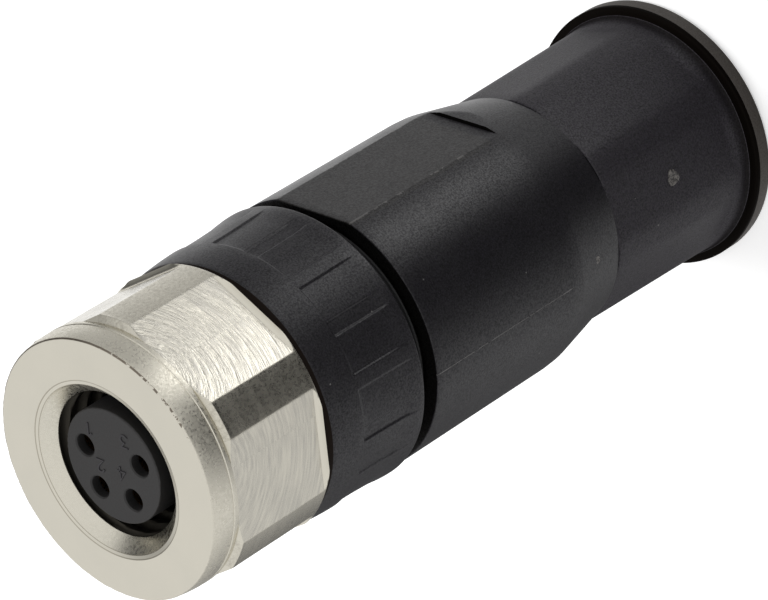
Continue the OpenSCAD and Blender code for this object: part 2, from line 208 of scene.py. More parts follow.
class Material(Nodes):
    """A material under construction. Its place is the object's own coordinates, metres in the CAD frame."""

    def __init__(self, name):
        self.material = bpy.data.materials.new(name)
        self.material.use_nodes = True
        super().__init__(self.material.node_tree)
        self.shader = self.tree.nodes["Principled BSDF"]
        self.place = self.node("ShaderNodeTexCoord").outputs["Object"]

    def mapped(self, scale=(1, 1, 1), shift=(0, 0, 0)):
        """The place, scaled and shifted."""
        made = self.node("ShaderNodeMapping")
        self.feed(made.inputs["Vector"], self.place)
        made.inputs["Scale"].default_value = scale
        made.inputs["Location"].default_value = shift
        return made.outputs["Vector"]

    def noise(self, scale, detail=3, rough=0.5, source=None):
        """Noise with scale cells a millimetre."""
        made = self.node("ShaderNodeTexNoise")
        self.feed(made.inputs["Vector"], source or self.place)
        self.feed(made.inputs["Scale"], scale / MM)
        self.feed(made.inputs["Detail"], detail)
        self.feed(made.inputs["Roughness"], rough)
        return made.outputs["Fac"]

    def bump(self, height, microns, normal=None, strength=1.0):
        """A bump whose whole height range stands so many micrometres high, over another normal if given."""
        made = self.node("ShaderNodeBump")
        self.feed(made.inputs["Height"], height)
        self.feed(made.inputs["Distance"], microns * 1e-6)
        self.feed(made.inputs["Strength"], strength)
        if normal is not None:
            self.feed(made.inputs["Normal"], normal)
        return made.outputs["Normal"]

    def set(self, **values):
        """Feeds inputs of the shader, named with _ for a space, and returns the material."""
        for name, value in values.items():
            self.feed(self.shader.inputs[name.replace("_", " ")], value)
        return self.material

    def given(self, name):
        """What is linked to an input of the shader so far."""
        return self.shader.inputs[name].links[0].from_socket


def srgb(*levels):
    """A colour written in display values from 0 to 255, as linear values."""
    shares = [level / 255 for level in levels]
    return tuple(s / 12.92 if s <= 0.04045 else ((s + 0.055) / 1.055) ** 2.4 for s in shares)


# ---------------------------------------------------------------- materials
PALE_SCUFF = srgb(150, 148, 146)
GRAIN = 9.0               # cells a millimetre in the moulded plastic
WORN_SIDE = math.radians(50)    # azimuth of the most worn part of the face's edge


def nickel():
    """Nickel-plated brass: milled flats, rough lands between them, a smooth face, and a dull throat with
    painted shade inside the bore.
    """
    m = Material("nickel_plated_brass")
    x, y, z = m.xyz(m.place)
    rho = m.radius(x, y)
    turned = m.minus(m.math("ARCTAN2", y, x), math.radians(NUT_TURN))
    local = m.math("WRAP", turned, math.pi / 6, -math.pi / 6)
    sector = m.math("ROUND", m.math("DIVIDE", turned, math.pi / 3))
    across = m.times(rho, m.math("SINE", local))
    depth = m.times(rho, m.math("COSINE", local))

    on_hex = m.times(m.above(z, HEX_BACK), m.below(z, HEX_FRONT - 0.02))
    flat = m.times(on_hex, m.near(depth, FLAT_R, 0.0035))
    land = m.times(on_hex, m.over(m.math("ABSOLUTE", local), math.radians(22.2)))
    collar = m.times(m.above(z, HEX_FRONT), m.above(rho, COLLAR_R - 0.14))
    throat = m.times(m.below(rho, MOUTH_R + 0.1), m.below(z, THROAT_Z))
    countersink = m.times(m.below(rho, MOUTH_R + 0.05), m.above(z, THROAT_Z))

    # arcs left by the cutter, about a centre in front of each flat and a little to one side
    aside = m.plus(across, m.times(m.math("SINE", m.times(sector, 2.3)), 1.6 * MM))
    along = m.minus(z, (FACE_Z + 0.4) * MM)
    sweep = m.node("ShaderNodeCombineXYZ")
    m.feed(sweep.inputs[0], m.radius(aside, along))
    m.feed(sweep.inputs[1], m.times(m.math("ARCTAN2", aside, along), 0.4 * MM))
    m.feed(sweep.inputs[2], m.times(sector, 3.7 * MM))
    arcs = m.noise(6.5, 3, 0.65, sweep.outputs[0])
    grit = m.noise(9.0, 3, 0.65)
    mottle = m.noise(6.5, 4, 0.7)
    cloud = m.noise(0.45, 3)
    fine = m.noise(5.0, 2)

    base = m.mix(cloud, srgb(212, 208, 195), srgb(222, 217, 203))
    base = m.mix(m.times(land, m.ramp(mottle, [(0.4, 0.0), (0.62, 0.28)])), base, srgb(132, 126, 116))
    base = m.mix(m.times(flat, m.ramp(arcs, [(0.34, 0.1), (0.66, 0.5)])), base, srgb(158, 156, 153))
    # painted shade: the threaded throat is painted dark brown, standing in for the shade inside the bore
    base = m.mix(m.times(throat, 0.92), base, srgb(38, 33, 26))

    # thin tan rings beside the countersink: painted shade lines on its two edges
    countersink_edge_shade = m.either(m.near(rho, MOUTH_R + 0.245, 0.025), m.near(rho, MOUTH_R + 0.06, 0.015))
    base = m.mix(m.times(countersink_edge_shade, m.above(z, FACE_Z - 0.08), 0.6), base, srgb(140, 132, 114))

    # brown spots on the face's outer edge, most of them on the worn side
    edge = m.times(m.above(z, FACE_Z - 0.07), m.above(rho, COLLAR_R - 0.175))
    toward = m.plus(m.times(x, math.cos(WORN_SIDE)), m.times(y, math.sin(WORN_SIDE)))
    chance = m.plus(m.math("DIVIDE", toward, 22.0 * MM), 0.49)
    spots = m.under(m.noise(3.2, 3, 0.7), chance)
    base = m.mix(m.times(edge, spots, 0.8), base, srgb(84, 70, 56))

    rough = m.ramp(cloud, [(0.3, 0.28), (0.7, 0.32)])
    rough = m.mix(m.times(flat, 0.6), rough, m.ramp(arcs, [(0.35, 0.14), (0.65, 0.3)]))
    rough = m.mix(collar, rough, m.ramp(grit, [(0.38, 0.26), (0.62, 0.5)]))
    rough = m.mix(land, rough, m.ramp(mottle, [(0.4, 0.24), (0.62, 0.36)]))
    rough = m.mix(throat, rough, 0.55)
    rough = m.mix(countersink, rough, m.ramp(mottle, [(0.35, 0.2), (0.65, 0.4)]))

    # the arcs are shallower on one flat, and every surface has at least a little grit
    shallower = m.times(m.math("COMPARE", sector, -1.0, 0.5), 0.6)
    worked = m.minus(flat, m.times(flat, shallower))
    matt = m.times(m.either(collar, countersink), 0.4)
    rugged = m.either(m.either(matt, m.times(land, 0.3)), 0.1)
    normal = m.bump(fine, 0.5, strength=0.5)
    normal = m.bump(m.times(arcs, worked), 36.0, normal)
    normal = m.bump(m.times(grit, rugged), 12.0, normal)
    return m.set(Metallic=1.0, Base_Color=base, Roughness=rough, Normal=normal)


def dust(m, base):
    """Sparse pale specks of different sizes over a base colour."""
    cells = m.node("ShaderNodeTexVoronoi")
    m.feed(cells.inputs["Vector"], m.place)
    m.feed(cells.inputs["Scale"], 1 / MM)
    chances = m.xyz(cells.outputs["Color"])
    speck = m.under(cells.outputs["Distance"], m.times(chances[1], 0.05))
    return m.mix(m.times(speck, m.over(chances[0], 0.35), 0.4), base, PALE_SCUFF)


def plastic(name, tint, grain_um, rough=None):
    """Black moulded plastic with a fine grain and a little dust, still under construction."""
    m = Material(name)
    grain = m.noise(GRAIN, 3, 0.65)
    gloss = m.noise(GRAIN * 1.3, 2, 0.7, m.mapped(shift=(0.1, 0.2, 0.3)))
    dark = srgb(*tint)
    light = tuple(level * (1.0 + 0.9 * share) for level, share in zip(dark, (1.0, 0.92, 1.16)))
    base = m.mix(m.ramp(grain, [(0.38, 0.0), (0.62, 1.0)]), dark, light)
    m.set(Base_Color=dust(m, base), Normal=m.bump(grain, grain_um))
    m.set(Specular_IOR_Level=m.ramp(gloss, [(0.38, 0.2), (0.62, 0.52)]))
    if rough:
        m.set(Roughness=m.ramp(m.noise(0.5, 2), [(0.3, rough[0]), (0.7, rough[1])]))
    return m


def housing_plastic():
    """The housing's plastic, with pale scuffs along the edges of its wrench flats and fine lines on them, a
    painted highlight on its moulding seam, and painted shade where the flats end and round the neck.
    """
    m = plastic("housing_black", (21, 20, 22), 7.0, (0.32, 0.37))
    x, y, z = m.xyz(m.place)
    rho = m.radius(x, y)
    outward = m.math("ABSOLUTE", x)
    front = m.above(z, WRENCH_BACK + 0.15)
    on_flat = m.times(front, m.below(outward, WRENCH_HALF + 0.005), m.above(outward, WRENCH_HALF - 0.08))

    edge = m.math("COMPARE", m.math("DIVIDE", outward, rho), WRENCH_HALF / HOUSING_R, 0.0028)
    worn = m.over(m.noise(1.6, 4, 0.7), 0.56)
    base = m.mix(m.times(edge, front, worn, 0.5), m.given("Base Color"), PALE_SCUFF)
    # painted highlight: the moulding seam is painted paler, as light catching its ridge
    seam = m.times(front, m.below(outward, 0.022), m.over(m.noise(2.5, 3, 0.7), 0.42))
    base = m.mix(m.times(seam, 0.4), base, srgb(140, 138, 136))

    # painted shade: near black where each wrench flat ends and at the mouth round the neck
    flat_end_shade = m.times(m.near(z, FLAT_END + 0.025, 0.03), m.above(outward, WRENCH_HALF + 0.005))
    mouth = m.times(m.above(z, HOUSING_FRONT - 0.01), m.below(rho, HOUSING_R - 0.09))
    base = m.mix(m.either(mouth, flat_end_shade), base, (0.002, 0.0017, 0.0015))
    base = m.mix(m.times(on_flat, 0.5), base, srgb(40, 38, 36))

    lines = m.noise(6.0, 2, source=m.mapped((0.2, 1.0, 0.06)))
    # the painted shade where the wrench flats end also takes away most of the specular
    m.set(Specular_IOR_Level=m.mix(flat_end_shade, m.given("Specular IOR Level"), 0.02))
    return m.set(Base_Color=base, Normal=m.bump(m.times(lines, on_flat), 5.0, m.given("Normal")))


def grip_plastic():
    """The grip ring's plastic, with painted shade along its front edge, where it tucks behind the nut."""
    m = plastic("grip_black", (23, 22, 24), 7.0, (0.36, 0.42))
    # painted shade: dark brown and nearly without specular along the front edge, for the shade behind the
    # nut
    front = m.above(m.xyz(m.place)[2], RING_FRONT - 0.3)
    m.set(Base_Color=m.mix(front, m.given("Base Color"), srgb(22, 15, 10)))
    return m.set(Specular_IOR_Level=m.mix(front, m.given("Specular IOR Level"), 0.06))


def gland_plastic():
    """The gland nut's plastic: rougher, with a paler, brownish rim, and painted shade on the flange's front
    face and the barrel's foot.
    """
    m = plastic("gland_black", (31, 29, 32), 9.0)
    x, y, z = m.xyz(m.place)
    rho = m.radius(x, y)
    rim = m.times(m.above(rho, FLANGE_R - 0.08), m.below(z, 0.84))
    # painted shade, near black with little specular: the flange's front face and rim top, and everything
    # within 6.235 mm of the axis up to about 1.2 mm high, fading out by 1.7 mm
    step = m.times(m.above(rho, 6.26), m.near(z, FLANGE_T - 0.1, 0.16))
    low = m.ramp(m.math("DIVIDE", z, 2.0 * MM), [(0.6, 1.0), (0.85, 0.0)])
    shade = m.either(step, m.times(low, m.below(rho, 6.235), 0.75))
    base = m.mix(m.times(rim, 0.85), m.given("Base Color"), srgb(76, 71, 66))
    m.set(Base_Color=m.mix(shade, base, srgb(12, 9, 7)))
    m.set(Specular_IOR_Level=m.mix(shade, m.given("Specular IOR Level"), 0.02))
    return m.set(Roughness=m.ramp(rim, [(0.0, 0.51), (1.0, 0.55)]))


def gate_plastic():
    """Torn plastic where the runner was broken off: light and dark crumbs."""
    m = Material("gate_mark_plastic")
    crumbs = m.noise(7.0, 3, 0.7)
    m.set(Base_Color=m.ramp(crumbs, [(0.4, srgb(30, 28, 28)), (0.62, srgb(120, 116, 112))]))
    return m.set(Roughness=0.45, Normal=m.bump(crumbs, 40.0))


def simple(name, tint, metal, rough):
    """A plain finish with a faint grain."""
    m = Material(name)
    grain = m.noise(12.0)
    dark, light = (tuple(level * share for level in srgb(*tint)) for share in (0.85, 1.15))
    m.set(Base_Color=m.mix(grain, dark, light), Metallic=metal, Normal=m.bump(grain, 2.0, strength=0.4))
    return m.set(Roughness=m.ramp(grain, [(0.3, rough - 0.06), (0.7, rough + 0.06)]))


LOOKS = {
    "coupling_nut": nickel(),
    "grip_ring": grip_plastic(),
    "retaining_ring": simple("spring_steel", (150, 150, 152), 1.0, 0.3),
    "face_seal": simple("seal_rubber", (26, 26, 27), 0.0, 0.55),
    "housing_seal": simple("seal_rubber_rear", (26, 26, 27), 0.0, 0.55),
    "cable_seal": simple("cable_seal_rubber", (26, 26, 27), 0.0, 0.55),
    "contact_insert": simple("insert_grey", (35, 34, 34), 0.0, 0.62),
    "terminal_block": simple("block_grey", (46, 45, 47), 0.0, 0.5),
    "carrier_sleeve": simple("carrier_black", (22, 22, 23), 0.0, 0.45),
    "housing": housing_plastic(),
    "clamping_cage": simple("cage_grey", (70, 70, 72), 0.0, 0.45),
    "gland_nut": gland_plastic(),
    # painted shade: the gold contact's colour is darkened far below gold's, standing in for the shade deep
    # in the holes
    "socket_contact": simple("gold_contact", (96, 72, 40), 1.0, 0.45),
    "terminal_screw": simple("screw_steel", (168, 168, 166), 1.0, 0.3),
    "numeral": simple("numeral_grey", (40, 38, 41), 0.0, 0.6),
    "gate_mark": gate_plastic(),
}
for name, node in nodes.items():
    node.data.materials.clear()
    node.data.materials.append(LOOKS[name.rstrip("_1234")])    # numbered nodes share a look


# ---------------------------------------------------------------- shape helpers
def add_piece(name, verts, faces, look, body, slot, node=None):
    """A smooth piece with sharp edges, riding on a body and, if a node is given, standing for it."""
    mesh = bpy.data.meshes.new(name)
    mesh.from_pydata(verts, [], faces)
    mesh.materials.append(look)
    mesh.polygons.foreach_set("use_smooth", [True] * len(mesh.polygons))
    mesh.set_sharp_from_angle(angle=math.radians(32))
    mesh.update()
    piece = bpy.data.objects.new(name, mesh)
    bpy.context.scene.collection.objects.link(piece)
    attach(piece, body)
    if node:
        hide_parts(node)


def skin(angles, rows):
    """Vertices and faces of a closed round skin.

    A row is (radius, height) in millimetres, each a number or a function of the angle.
    """
    count = len(angles)
    verts = []
    for radius, height in rows:
        for angle in angles:
            r = radius(angle) if callable(radius) else radius
            z = height(angle) if callable(height) else height
            verts.append((r * math.cos(angle) * MM, r * math.sin(angle) * MM, z * MM))
    faces = []
    for i in range(len(rows)):
        k = (i + 1) % len(rows)
        for j in range(count):
            m = (j + 1) % count
            faces.append((i * count + j, i * count + m, k * count + m, k * count + j))
    return verts, faces


def angle_list(edges, step, offsets):
    """Radians round the circle, in even steps and with more of them at the offsets from each edge.

    The edges, the step and the offsets are in degrees.
    """
    fixed = {round((edge + offset) % 360, 4) for edge in edges for offset in offsets}
    even = {round(i * step, 4) for i in range(int(360 / step))}
    ordered = sorted(fixed | even)
    keep = [ordered[0]]
    for angle in ordered[1:]:
        crowded = angle - keep[-1] < 0.12 * step
        if crowded and angle in fixed and keep[-1] not in fixed:
            keep[-1] = angle
        elif angle in fixed or not crowded:
            keep.append(angle)
    return [math.radians(angle) for angle in keep]


def smooth_min(a, b, width):
    """The smaller of a and b, with the corner between them rounded over a width."""
    overlap = max(width - abs(a - b), 0.0) / width
    return min(a, b) - overlap * overlap * width * 0.25


def ease(x, start, end):
    """0 before start and 1 after end, with a smooth rise between them."""
    t = min(1.0, max(0.0, (x - start) / (end - start)))
    return t * t * (3 - 2 * t)


def waver(x):
    """A number from 0 to 1 that looks random and changes smoothly with x."""
    whole = math.floor(x)
    a, b = (math.sin(k * 12.9898 + 4.1) * 43758.5453 % 1.0 for k in (whole, whole + 1))
    return a + (b - a) * ease(x - whole, 0, 1)


# ---------------------------------------------------------------- pieces
def coupling_nut_piece():
    """The nut as one closed skin: skirt, hexagon, collar, face, countersink, thread and bore."""
    corner = math.degrees(math.acos(FLAT_R / LAND_R))
    edges = [NUT_TURN + 60 * k + side * corner for k in range(6) for side in (-1, 1)]
    angles = angle_list(edges, 1.5, (-0.9, -0.45, -0.2, 0.0, 0.2, 0.45, 0.9))

    def hexagon(angle, z):
        local = (math.degrees(angle) - NUT_TURN + 30) % 60 - 30
        land = LAND_R - 0.012 * waver(z * 5 + 31 * round(math.degrees(angle) / 30))
        run_out = 0.3 * max(0.0, 1.0 - (z - HEX_BACK) / RUN_OUT) ** 2
        return smooth_min((FLAT_R + run_out) / math.cos(math.radians(local)), land, 0.02)

    def inset(amount, z):
        return lambda angle: hexagon(angle, z) - amount

    def chamfer(drop):
        """The front end of the hexagon, lower where the lands stand out past the collar."""
        return lambda angle: HEX_FRONT - drop - 0.5 * max(0.0, hexagon(angle, HEX_FRONT) - COLLAR_R - 0.02)

    def nicked(amount, nick):
        """The collar's edge, set in by an amount and by nicks of varying depth."""
        def radius(angle):
            turn = math.degrees(angle)
            return COLLAR_R - amount - nick * (0.5 * waver(turn * 0.35) + 0.5 * waver(turn * 1.1 + 400))
        return radius

    def thread(z):
        fade = min(1.0, max(0.0, (THROAT_Z - 0.05 - z) / 0.25))

        def radius(angle):
            turn = (z / PITCH - angle / (2 * math.pi)) % 1.0
            from_root = abs(turn - 0.5) * 2    # 0 at the root's middle, 1 at the crest's middle
            flank = min(1.0, max(0.0, (from_root - 0.125) / 0.625))
            flank = 0.35 * ease(flank, 0, 1) + 0.65 * flank
            return CREST_R + (ROOT_R - CREST_R) * (1 - flank) * fade
        return radius

    rows = [(SKIRT_R, SKIRT_BACK), (SKIRT_R, HEX_BACK)]
    for amount, rise in ((0.35, 0.0), (0.08, 0.0), (0.03, 0.02)):
        rows.append((inset(amount, HEX_BACK), HEX_BACK + rise))
    run_end = HEX_BACK + RUN_OUT
    heights = [HEX_BACK + 0.08 + (RUN_OUT - 0.08) * k / 5 for k in range(6)]
    heights += [run_end + (HEX_FRONT - run_end) * k / 27 for k in range(1, 27)]
    rows += [(inset(0.0, z), z) for z in heights]
    for amount, drop in ((0.0, 0.04), (0.01, 0.012), (0.035, 0.0)):
        rows.append((inset(amount, HEX_FRONT), chamfer(drop)))

    # collar, with a turned groove near the hexagon
    for amount, rise in ((0.04, 0.0), (0.005, 0.02), (0.0, 0.05), (0.0, 0.24),
                         (0.035, 0.28), (0.035, 0.31), (0.008, 0.35), (0.01, 0.6)):
        rows.append((COLLAR_R - amount, HEX_FRONT + rise))
    rows.append((COLLAR_R - 0.045, FACE_Z - 0.5))
    for amount, nick, drop in ((0.1, 0.01, 0.08), (0.11, 0.03, 0.035),
                               (0.125, 0.04, 0.012), (0.15, 0.04, 0.0)):
        rows.append((nicked(amount, nick), FACE_Z - drop))

    # face, with a shallow ring round the mouth, and countersink
    rows += [(6.1, FACE_Z), (5.2, FACE_Z)]
    for amount, drop in ((0.3, 0.0), (0.27, 0.0), (0.25, 0.015), (0.07, 0.035),
                         (0.05, 0.05), (0.03, 0.08), (-0.03, 0.15)):
        rows.append((MOUTH_R + amount, FACE_Z - drop))
    rows += [(CREST_R + 0.02, THROAT_Z + 0.02), (CREST_R, THROAT_Z - 0.02)]

    # thread, then the bore with the snap ring's groove
    thread_start = THROAT_Z - 0.05
    for i in range(THREAD_ROWS):
        z = thread_start - (thread_start - THREAD_END) * i / (THREAD_ROWS - 1)
        rows.append((thread(z), z))
    front, back = SNAP_GROOVE
    rows += [(BORE_R, THREAD_END), (BORE_R, front), (SNAP_GROOVE_R, front)]
    rows += [(SNAP_GROOVE_R, back), (BORE_R, back), (BORE_R, SKIRT_BACK)]
    add_piece("coupling_nut_threaded", *skin(angles, rows), LOOKS["coupling_nut"],
              "coupling", "nickel_brass", "coupling_nut")


def crown(z):
    """The grip ring's outer radius before the ribs: a shallow arc with a slight shoulder near the front."""
    from_front = RING_FRONT - z
    shoulder = 0.1 * ease(from_front, 0.0, 0.4) * (1 - ease(from_front, 1.0, 4.0))
    return CROWN_R - CROWN_ARC + math.sqrt(CROWN_ARC ** 2 - (z - CROWN_Z) ** 2) + shoulder


def grip_ring_piece():
    """The ring, with eight ribs that stand between windows, and a groove in the middle of each window."""
    ribs = [NUT_TURN + 45 * k for k in range(8)]
    edges = [rib + side * RIB_HALF for rib in ribs for side in (-1, 1)]
    edges += [rib + 22.5 + side * GROOVE_HALF for rib in ribs for side in (-1, 1)]
    angles = angle_list(edges, 1.5, (-0.9, -0.6, -0.3, 0.0, 0.3, 0.6, 0.9))
    back, front = WINDOW

    def depth(angle, z):
        turn = (math.degrees(angle) - NUT_TURN) % 45
        from_rib = min(turn, 45 - turn)
        from_groove = abs(turn - 22.5)
        window = ease(from_rib, RIB_HALF - 0.3, RIB_HALF + 0.6)
        groove = 1 - ease(from_groove, GROOVE_HALF - 0.6, GROOVE_HALF + 0.3)
        along = ease(z, back - 0.1, back + 0.9) * (1 - ease(z, front - 0.13, front + 0.06))
        return along * (0.07 * window + 0.08 * groove)

    def ribbed(z):
        return lambda angle: crown(z) - depth(angle, z)

    rows = [(RING_BORE_R, RING_BACK)]
    for amount, rise in ((0.12, 0.0), (0.05, 0.02), (0.01, 0.07)):
        rows.append((crown(RING_BACK) - amount, RING_BACK + rise))
    heights = [RING_BACK + rise for rise in (0.12, 0.2, 0.3)]
    heights += [back + rise for rise in (-0.06, -0.03, 0.0, 0.03, 0.06, 0.09, 0.13)]
    heights += [back + (front - back) * k / 10 for k in range(1, 10)]
    heights += [front + rise for rise in (-0.13, -0.09, -0.06, -0.03, 0.0, 0.03, 0.06)]
    land = RING_FRONT - 0.12 - front
    heights += [front + land * share for share in (0.2, 0.4, 0.6, 0.7, 0.75, 0.8, 0.85, 0.9, 0.95, 1.0)]
    rows += [(ribbed(z), z) for z in heights]
    for amount, drop in ((0.01, 0.06), (0.05, 0.015), (0.1, 0.0)):
        rows.append((crown(RING_FRONT) - amount, RING_FRONT - drop))
    rows.append((RING_BORE_R, RING_FRONT))
    add_piece("grip_ring_ribbed", *skin(angles, rows), LOOKS["grip_ring"],
              "coupling", "grip_plastic", "grip_ring")


def housing_piece():
    """The housing: a cone that blends into a cylinder with two wrench flats, and its stepped inside."""
    corner = math.degrees(math.acos(WRENCH_HALF / HOUSING_R))
    edges = [middle + side * corner for middle in (0, 180) for side in (-1, 1)] + [90, 270]
    angles = angle_list(edges, 2.0, (-1.2, -0.6, -0.3, -0.12, 0.0, 0.12, 0.3, 0.6, 1.2))
    blend_back, blend_front = CONE_TOP - 0.4, CONE_TOP + 0.6

    def cone(z):
        return CONE_R + (HOUSING_R - CONE_R) * (z - BARREL_TOP) / (CONE_TOP - BARREL_TOP)

    def outer(z):
        if z <= blend_back:
            return cone(z)
        if z >= blend_front:
            return HOUSING_R
        t = (z - blend_back) / (blend_front - blend_back)
        bulge = HOUSING_R + 0.015
        return (1 - t) ** 2 * cone(blend_back) + 2 * t * (1 - t) * bulge + t * t * HOUSING_R

    def plane(angle, half):
        """The radius of two planes, each at half from the axis, and infinity where they don't reach."""
        turn = abs((math.degrees(angle) + 90) % 180 - 90)
        return half / math.cos(math.radians(turn)) if turn <= 60 else math.inf

    def flat(angle, full):
        return smooth_min(plane(angle, WRENCH_HALF), full, 0.012)

    def inset(amount):
        return lambda angle: flat(angle, HOUSING_R) - amount

    def relieved(z):
        """The cone, with a shallow flat cut into it behind each wrench flat."""
        return lambda angle: min(outer(z), plane(angle, WRENCH_HALF + 0.17))

    def lip(angle):
        """The end of the wrench flats, with a slight burr on them."""
        on_flat = plane(angle, WRENCH_HALF) < outer(FLAT_END)
        return flat(angle, outer(FLAT_END)) + (0.02 if on_flat else 0.0)

    def seamed(z):
        """The cylinder, with a low moulding seam at its two sides between the flats."""
        seam = 0.022 * ease(z, 15.2, 16.2) * (1 - ease(z, 23.2, 24.0)) * (0.4 + waver(z * 1.7))
        return lambda angle: flat(angle, HOUSING_R) + (seam if abs(math.cos(angle)) < 0.0015 else 0.0)

    heights = [BARREL_TOP + 0.03, BARREL_TOP + 0.5, 12.0, 12.6, 13.0, 13.2]
    heights += [13.4 + 0.1 * k for k in range(8)] + [14.15, FLAT_END - 0.02]
    rows = [(relieved(z), z) for z in heights]
    rows += [(relieved(FLAT_END), FLAT_END + 0.01), (lip, FLAT_END + 0.03)]
    rows.append((lambda angle: flat(angle, outer(FLAT_END + 0.08)), FLAT_END + 0.08))
    seam_back, seam_front = WRENCH_BACK + 0.15, HOUSING_FRONT - 0.15
    rows.append((inset(0.0), seam_back))
    for k in range(1, 33):
        z = seam_back + (seam_front - seam_back) * k / 33
        rows.append((seamed(z), z))
    for amount, drop in ((0.0, 0.06), (0.01, 0.02), (0.04, 0.0)):
        rows.append((inset(amount), HOUSING_FRONT - drop))

    # inside: seal seat, wiring chamber, lip behind it, and the stub that the gland nut screws on
    rows += [(5.82, HOUSING_FRONT), (5.82, 23.85), (5.0, 23.85), (5.0, 12.2), (3.1, 12.2), (3.1, 10.9)]
    rows += [(3.75, 10.9), (3.75, 4.6), (4.35, 4.6), (4.65, 4.9), (4.65, BARREL_TOP), (5.84, BARREL_TOP)]
    add_piece("housing_body", *skin(angles, rows), LOOKS["housing"],
              "housing", "housing_plastic", "housing")


def gland_piece():
    """The gland nut: an eight-sided barrel that narrows from its flange to the housing, and its bore."""
    edges = [NUT_TURN + side * 15.4 + 45 * k for k in range(8) for side in (-1, 1)]
    angles = angle_list(edges, 2.0, (-2.0, -1.0, 0.0, 1.0, 2.0))
    top = BARREL_TOP - 0.05

    def barrel(z, amount=0.0):
        share = (z - FLANGE_T) / (BARREL_TOP - FLANGE_T)
        corner, half = (back + (front - back) * share for back, front in (BARREL_R, FACET_R))

        def radius(angle):
            local = (math.degrees(angle) - NUT_TURN + 22.5) % 45 - 22.5
            return smooth_min(half / math.cos(math.radians(local)), corner, 0.09) - amount
        return radius

    def footed(z, share):
        """The barrel, round at the foot and turning into its flats as the share goes to 1."""
        def radius(angle):
            faceted = barrel(z)(angle)
            return faceted + (6.14 - faceted) * (1 - ease(share, 0, 1))
        return radius

    rows = [(6.45, FLANGE_T), (6.25, FLANGE_T), (6.23, FLANGE_T + 0.04), (6.18, FOOT_TOP)]
    for share in (0.1, 0.3, 0.5, 0.7, 0.9, 1.0):
        z = FOOT_TOP + FOOT_BLEND * share
        rows.append((footed(z, share), z))
    blend_end = FOOT_TOP + FOOT_BLEND
    for share in (0.15, 0.3, 0.5, 0.7, 0.9):
        z = blend_end + (top - 0.12 - blend_end) * share
        rows.append((barrel(z), z))
    for amount, drop in ((0.0, 0.12), (0.02, 0.04), (0.07, 0.0)):
        rows.append((barrel(top, amount), top - drop))

    # inside: the bore round the housing's stub, the cable hole and its chamfer; then the flange's rim
    rows += [(4.7, top), (4.7, 2.3), (2.75, 2.3), (2.75, 0.3), (3.05, 0.0), (6.45, 0.0)]
    for amount, z in ((0.12, 0.02), (0.03, 0.1), (0.0, 0.22), (0.0, 0.6), (0.0, 0.98),
                      (0.015, 1.04), (0.05, 1.08), (0.1, FLANGE_T)):
        rows.append((FLANGE_R - amount, z))
    add_piece("gland_nut_body", *skin(angles, rows), LOOKS["gland_nut"],
              "gland", "gland_plastic", "gland_nut")


def gate_mark(body, radius, z, azimuth, size):
    """A small rough moulding mark on a body: a raised ring about a sunk middle."""
    angle = math.radians(azimuth)
    out = Vector((math.cos(angle), math.sin(angle), 0))
    side = Vector((-math.sin(angle), math.cos(angle), 0))
    centre = out * radius + Vector((0, 0, z))
    profile = [(1.15, -0.3), (1.05, 0.05), (0.9, 0.08), (0.7, 0.07), (0.5, 0.035)]
    count = 16
    verts = []
    for share, height in profile:
        for i in range(count):
            turn = 2 * math.pi * i / count
            reach = size * share * (1 + 0.12 * math.sin(3 * turn + 1))
            around = side * (reach * math.cos(turn)) + Vector((0, 0, reach * math.sin(turn)))
            verts.append(tuple((centre + around + out * height * size * 2) * MM))
    faces = []
    for i in range(len(profile) - 1):
        for j in range(count):
            m = (j + 1) % count
            faces.append((i * count + j, i * count + m, (i + 1) * count + m, (i + 1) * count + j))
    faces.append(tuple((len(profile) - 1) * count + j for j in range(count)))
    faces.append(tuple(count - 1 - j for j in range(count)))
    add_piece("gate_mark_" + body, verts, faces, LOOKS["gate_mark"], body, body + "_plastic")


# each numeral is one stroke, with its points as (across, up) from its middle
STROKES = {
    "1": [(-0.13, 0.17), (0.03, 0.3), (0.03, -0.3)],
    "2": [(-0.17, 0.17), (-0.1, 0.27), (0.03, 0.3), (0.15, 0.24),
          (0.17, 0.12), (0.1, -0.02), (-0.17, -0.3), (0.19, -0.3)],
    "3": [(-0.17, 0.3), (0.16, 0.3), (-0.02, 0.07), (0.1, 0.04), (0.18, -0.07),
          (0.17, -0.19), (0.07, -0.29), (-0.08, -0.3), (-0.18, -0.22)],
    "4": [(0.08, -0.3), (0.08, 0.3), (-0.2, -0.12), (0.2, -0.12)],
}


def numeral(digit, x, y):
    """A raised numeral on the insert's face, its top towards -X."""
    foot = INSERT_TIP - 0.01
    top = foot + 0.05
    width = 0.045
    points = [Vector((x - up, y + across, 0)) for across, up in STROKES[digit]]
    last = len(points) - 1
    verts = []
    for i, point in enumerate(points):
        before = (point - points[i - 1]).normalized() if i > 0 else None
        after = (points[i + 1] - point).normalized() if i < last else None
        before, after = before or after, after or before
        heading = (before + after).normalized()
        side = Vector((-heading.y, heading.x, 0))
        stretch = 1.0 / max(0.5, side.dot(Vector((-before.y, before.x, 0))))
        if i == 0:
            point = point - heading * width
        if i == last:
            point = point + heading * width
        for share, z in ((-1.0, foot), (-0.75, top), (0.75, top), (1.0, foot)):
            spot = point + side * (width * share * stretch)
            verts.append((spot.x * MM, spot.y * MM, z * MM))
    faces = []
    for i in range(last):
        for j in range(4):
            k = (j + 1) % 4
            faces.append((4 * i + j, 4 * i + 4 + j, 4 * i + 4 + k, 4 * i + k))
    faces.append((0, 1, 2, 3))
    faces.append(tuple(4 * last + j for j in (3, 2, 1, 0)))
    add_piece("numeral_" + digit, verts, faces, LOOKS["numeral"], "carrier", "insert_plastic")


